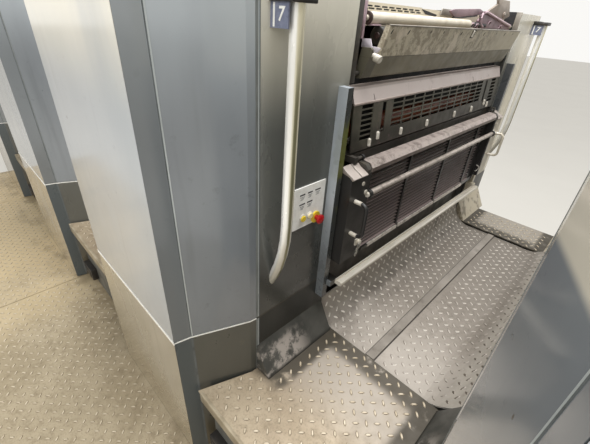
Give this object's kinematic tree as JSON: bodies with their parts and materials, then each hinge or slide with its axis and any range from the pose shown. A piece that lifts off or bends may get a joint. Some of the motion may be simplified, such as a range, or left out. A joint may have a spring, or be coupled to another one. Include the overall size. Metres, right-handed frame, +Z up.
{
  "type": "offset printing press section",
  "caption": "Section of a sheet-fed offset press: printing units in line with column covers, swinging guards, footboards, steps, handrails and a tread-plate gallery.",
  "frame": {"origin": "on the shop floor under the middle of the press bed, between the second and third units", "axes": "+X along the press towards the highest unit number, +Y across the press towards the drive side, +Z up"},
  "size_m": [4.773, 3.09, 1.8039],
  "materials": {
    "cast_frame": "painted casting",
    "panel_blue": "satin",
    "panel_light": "semi-gloss",
    "panel_dark": "satin, greasy",
    "tread_tan": "worn tread plate",
    "tread_steel": "worn tread plate",
    "bright_rail": "brushed",
    "white_plate": "matte",
    "button_red": "gloss",
    "cylinder_chrome": "polished",
    "roller_red": "inked rubber",
    "light_metal": "satin",
    "mauve_paint": "greasy",
    "guard_metal": "worn, greasy",
    "black_paint": "satin"
  },
  "bodies": {
    "press_frame": {"unit_bases": "cast_frame", "bridge_beds": "cast_frame", "side_frames": "cast_frame", "column_housings": "panel_blue", "upper_end_covers": "panel_light", "lower_end_covers": "panel_light", "upper_corner_covers": "panel_blue", "lower_corner_covers": "panel_blue", "upper_inner_panels": "panel_dark", "lower_inner_panels": "panel_dark", "kick_skirts": "panel_dark", "step_plates": "tread_tan", "step_risers": "panel_dark", "footboards": "tread_steel", "joint_bars": "tread_steel", "toe_rails": "bright_rail", "handrails": "bright_rail", "number_plates": "panel_blue", "control_panels": "white_plate", "panel_buttons": "button_red", "edge_bars": "panel_blue", "hinge_pins": "bright_rail", "press_cylinders": "cylinder_chrome", "ink_rollers": "roller_red", "cylinder_guards": "panel_dark", "plain_guards": "panel_dark", "top_covers": "light_metal", "roller_tubes": "light_metal", "ink_duct_arms": "mauve_paint", "gallery_plates": "tread_tan", "gallery_frame": "cast_frame"},
    "unit5_flap": {"unit5_top_flap": "guard_metal"},
    "unit5_vent_guard": {"unit5_upper_guard": "guard_metal"},
    "unit5_grille": {"unit5_lower_guard": "black_paint", "unit5_guard_trim": "guard_metal"},
    "unit6_flap": {"unit6_top_flap": "guard_metal"},
    "unit6_vent_guard": {"unit6_upper_guard": "guard_metal"},
    "unit6_grille": {"unit6_lower_guard": "black_paint", "unit6_guard_trim": "guard_metal"},
    "unit7_flap": {"unit7_top_flap": "guard_metal"},
    "unit7_vent_guard": {"unit7_upper_guard": "guard_metal"},
    "unit7_grille": {"unit7_lower_guard": "black_paint", "unit7_guard_trim": "guard_metal"},
    "unit8_flap": {"unit8_top_flap": "guard_metal"},
    "unit8_vent_guard": {"unit8_upper_guard": "guard_metal"},
    "unit8_grille": {"unit8_lower_guard": "black_paint", "unit8_guard_trim": "guard_metal"}
  },
  "joints": [
    {"name": "unit5_flap_hinge", "type": "hinge", "parent": "press_frame", "child": "unit5_flap", "pos_m": [-1.6075, 0, 1.572], "axis": [0, 1, 0], "range_deg": [0, 55]},
    {"name": "unit5_vent_guard_hinge", "type": "hinge", "parent": "press_frame", "child": "unit5_vent_guard", "pos_m": [-1.6175, 0, 1.528], "axis": [0, -1, 0], "range_deg": [0, 50]},
    {"name": "unit5_grille_hinge", "type": "hinge", "parent": "press_frame", "child": "unit5_grille", "pos_m": [-1.5635, 0, 1.336], "axis": [0, -1, 0], "range_deg": [0, 65]},
    {"name": "unit6_flap_hinge", "type": "hinge", "parent": "press_frame", "child": "unit6_flap", "pos_m": [-0.3025, 0, 1.572], "axis": [0, 1, 0], "range_deg": [0, 55]},
    {"name": "unit6_vent_guard_hinge", "type": "hinge", "parent": "press_frame", "child": "unit6_vent_guard", "pos_m": [-0.3125, 0, 1.528], "axis": [0, -1, 0], "range_deg": [0, 50]},
    {"name": "unit6_grille_hinge", "type": "hinge", "parent": "press_frame", "child": "unit6_grille", "pos_m": [-0.2585, 0, 1.336], "axis": [0, -1, 0], "range_deg": [0, 65]},
    {"name": "unit7_flap_hinge", "type": "hinge", "parent": "press_frame", "child": "unit7_flap", "pos_m": [1.0025, 0, 1.572], "axis": [0, 1, 0], "range_deg": [0, 55]},
    {"name": "unit7_vent_guard_hinge", "type": "hinge", "parent": "press_frame", "child": "unit7_vent_guard", "pos_m": [0.9925, 0, 1.528], "axis": [0, -1, 0], "range_deg": [0, 50]},
    {"name": "unit7_grille_hinge", "type": "hinge", "parent": "press_frame", "child": "unit7_grille", "pos_m": [1.0465, 0, 1.336], "axis": [0, -1, 0], "range_deg": [0, 65]},
    {"name": "unit8_flap_hinge", "type": "hinge", "parent": "press_frame", "child": "unit8_flap", "pos_m": [2.3075, 0, 1.572], "axis": [0, 1, 0], "range_deg": [0, 55]},
    {"name": "unit8_vent_guard_hinge", "type": "hinge", "parent": "press_frame", "child": "unit8_vent_guard", "pos_m": [2.2975, 0, 1.528], "axis": [0, -1, 0], "range_deg": [0, 50]},
    {"name": "unit8_grille_hinge", "type": "hinge", "parent": "press_frame", "child": "unit8_grille", "pos_m": [2.3515, 0, 1.336], "axis": [0, -1, 0], "range_deg": [0, 65]}
  ]
}
